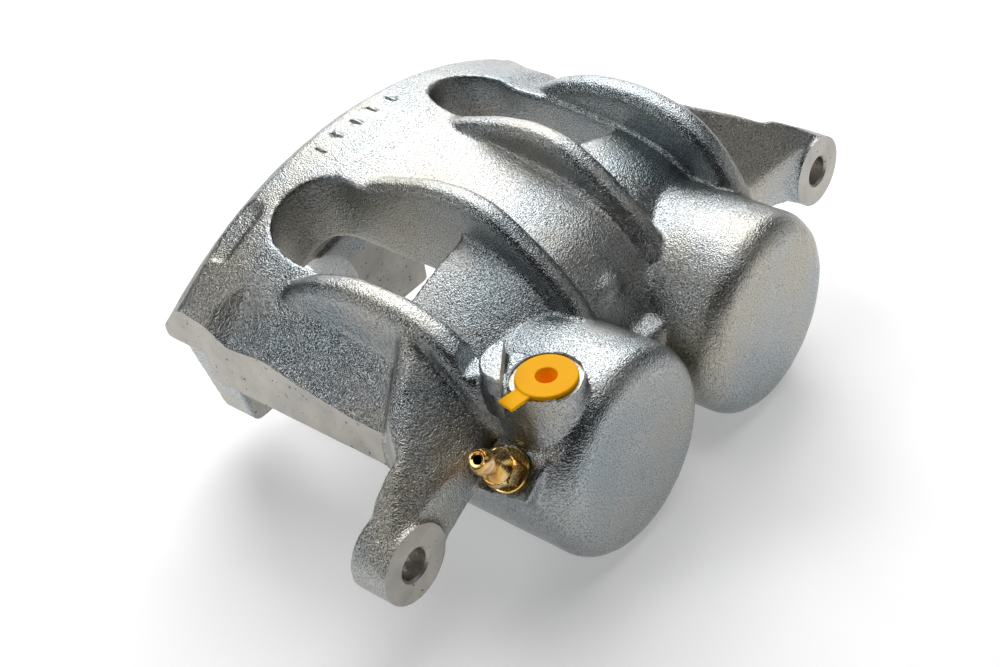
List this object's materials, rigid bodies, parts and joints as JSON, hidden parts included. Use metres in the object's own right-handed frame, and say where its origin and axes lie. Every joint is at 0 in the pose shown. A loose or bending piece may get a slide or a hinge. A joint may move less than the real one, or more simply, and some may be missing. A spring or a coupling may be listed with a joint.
{
  "type": "brake caliper",
  "caption": "Twin-piston floating brake caliper: a rough-cast ribbed bridge over the disc gap, fingers, guide-bolt lugs, hollow pistons, boots, a bleed screw and a port plug.",
  "frame": {"origin": "midway between the two guide bolt holes, on the machined inboard faces of the lugs", "axes": "+X along the caliper from the lug beside the bleed screw to the other lug, +Y outboard over the disc towards the fingers, +Z away from the wheel axis"},
  "size_m": [0.246, 0.156, 0.0977],
  "materials": {
    "zinc_plated_casting": "rough cast, bright zinc plated",
    "yellow_zinc_steel": "turned, yellow passivated",
    "yellow_plastic": "smooth moulded",
    "chromed_steel": "ground and plated",
    "black_rubber": "matt",
    "plain_steel": "plain pressed"
  },
  "bodies": {
    "caliper": {"caliper_housing": "zinc_plated_casting", "piston_seal_left": "black_rubber", "piston_seal_right": "black_rubber", "dust_boot_left": "black_rubber", "dust_boot_right": "black_rubber", "boot_ring_left": "plain_steel", "boot_ring_right": "plain_steel"},
    "piston_left": {"piston_left": "chromed_steel"},
    "piston_right": {"piston_right": "chromed_steel"},
    "bleed_screw": {"bleed_screw": "yellow_zinc_steel"},
    "inlet_plug": {"inlet_plug": "yellow_plastic"}
  },
  "joints": [
    {"name": "piston_left_slide", "type": "slide", "parent": "caliper", "child": "piston_left", "axis": [0, 1, 0], "range_m": [0, 0.024]},
    {"name": "piston_right_slide", "type": "slide", "parent": "caliper", "child": "piston_right", "axis": [0, 1, 0], "range_m": [0, 0.024]},
    {"name": "bleed_screw_turn", "type": "hinge", "parent": "caliper", "child": "bleed_screw", "pos_m": [-0.0728, -0.007, 0.0099], "axis": [-0.6347, 0, 0.7727], "range_deg": [0, 180]},
    {"name": "inlet_plug_pull", "type": "slide", "parent": "caliper", "child": "inlet_plug", "axis": [0, 0, 1], "range_m": [0, 0.014]}
  ]
}
